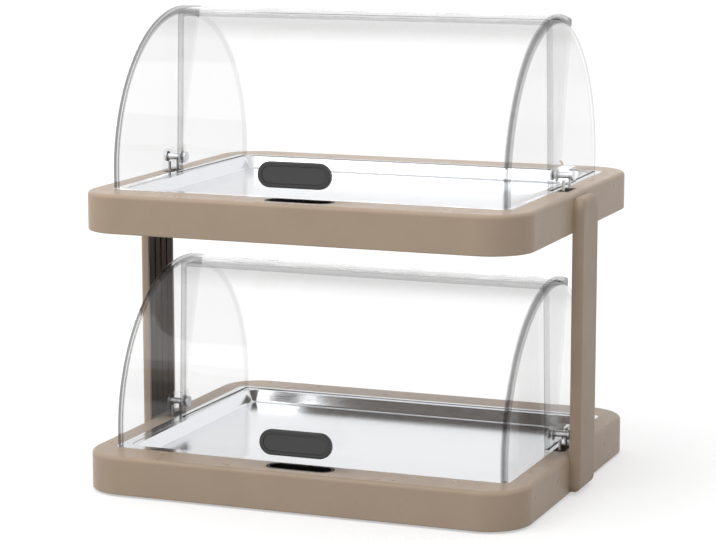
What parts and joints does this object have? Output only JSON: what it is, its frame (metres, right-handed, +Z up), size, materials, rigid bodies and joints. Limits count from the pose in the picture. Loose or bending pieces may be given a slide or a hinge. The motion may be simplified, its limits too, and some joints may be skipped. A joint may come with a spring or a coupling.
{
  "type": "refrigerated buffet display",
  "caption": "Two-tier ice-cooled buffet display: shallow steel trays in moulded casings on side columns, each under a clear roll-top cover whose front half swings up and back.",
  "frame": {"origin": "on the resting surface, under the middle of the display", "axes": "+Z up, -Y towards the handles and the guest, +X to the right seen from the front, along the pivots"},
  "size_m": [0.459, 0.376, 0.454],
  "materials": {
    "casing": "fine satin moulded casing, warm taupe",
    "column": "fine satin moulded column, warm taupe",
    "column_insert": "dark brown ribbed strip",
    "panel": "textured underside panel",
    "screw": "zinc plated",
    "pin": "turned steel",
    "washer": "natural nylon",
    "foam": "closed-cell foam",
    "well": "white moulded basin",
    "cold_pack": "sealed blue coolant pack",
    "tray": "polished stainless steel",
    "trim": "polished stainless steel",
    "clear_cover": "clear moulded plastic",
    "clear_bracket": "clear moulded plastic block",
    "handle": "dark grey satin plastic",
    "inlay": "dark grey plain badge",
    "cup": "black finger cup",
    "rubber": "soft foot"
  },
  "bodies": {
    "root": {"lower_frame": "casing", "lower_bottom_panel": "panel", "lower_bottom_screws": "screw", "lower_insulation": "foam", "lower_cold_well": "well", "lower_cold_pack_left": "cold_pack", "lower_cold_pack_right": "cold_pack", "lower_deck_trim": "trim", "lower_back_cover": "clear_cover", "lower_pivot_bracket_left": "clear_bracket", "lower_pivot_bracket_right": "clear_bracket", "lower_bracket_screws": "screw", "lower_pivot_pins": "pin", "lower_pivot_caps": "pin", "lower_pivot_washers": "washer", "lower_finger_cup": "cup", "upper_frame": "casing", "upper_bottom_panel": "panel", "upper_bottom_screws": "screw", "upper_insulation": "foam", "upper_cold_well": "well", "upper_cold_pack_left": "cold_pack", "upper_cold_pack_right": "cold_pack", "upper_deck_trim": "trim", "upper_back_cover": "clear_cover", "upper_pivot_bracket_left": "clear_bracket", "upper_pivot_bracket_right": "clear_bracket", "upper_bracket_screws": "screw", "upper_pivot_pins": "pin", "upper_pivot_caps": "pin", "upper_pivot_washers": "washer", "upper_finger_cup": "cup", "left_column": "column", "left_column_insert": "column_insert", "left_column_screws": "screw", "right_column": "column", "right_column_insert": "column_insert", "right_column_screws": "screw", "rubber_feet": "rubber"},
    "lower_tray_body": {"lower_tray": "tray"},
    "lower_cover_body": {"lower_front_cover": "clear_cover", "lower_handle": "handle", "lower_handle_inlay": "inlay", "lower_handle_screws": "screw"},
    "upper_tray_body": {"upper_tray": "tray"},
    "upper_cover_body": {"upper_front_cover": "clear_cover", "upper_handle": "handle", "upper_handle_inlay": "inlay", "upper_handle_screws": "screw"}
  },
  "joints": [
    {"name": "lower_cover_hinge", "type": "hinge", "parent": "root", "child": "lower_cover_body", "pos_m": [0, 0, 0.053], "axis": [-1, 0, 0], "range_deg": [0, 78]},
    {"name": "lower_tray_lift", "type": "slide", "parent": "root", "child": "lower_tray_body", "axis": [0, 0, 1], "range_m": [0, 0.02]},
    {"name": "upper_cover_hinge", "type": "hinge", "parent": "root", "child": "upper_cover_body", "pos_m": [0, 0, 0.303], "axis": [-1, 0, 0], "range_deg": [0, 78]},
    {"name": "upper_tray_lift", "type": "slide", "parent": "root", "child": "upper_tray_body", "axis": [0, 0, 1], "range_m": [0, 0.02]}
  ]
}
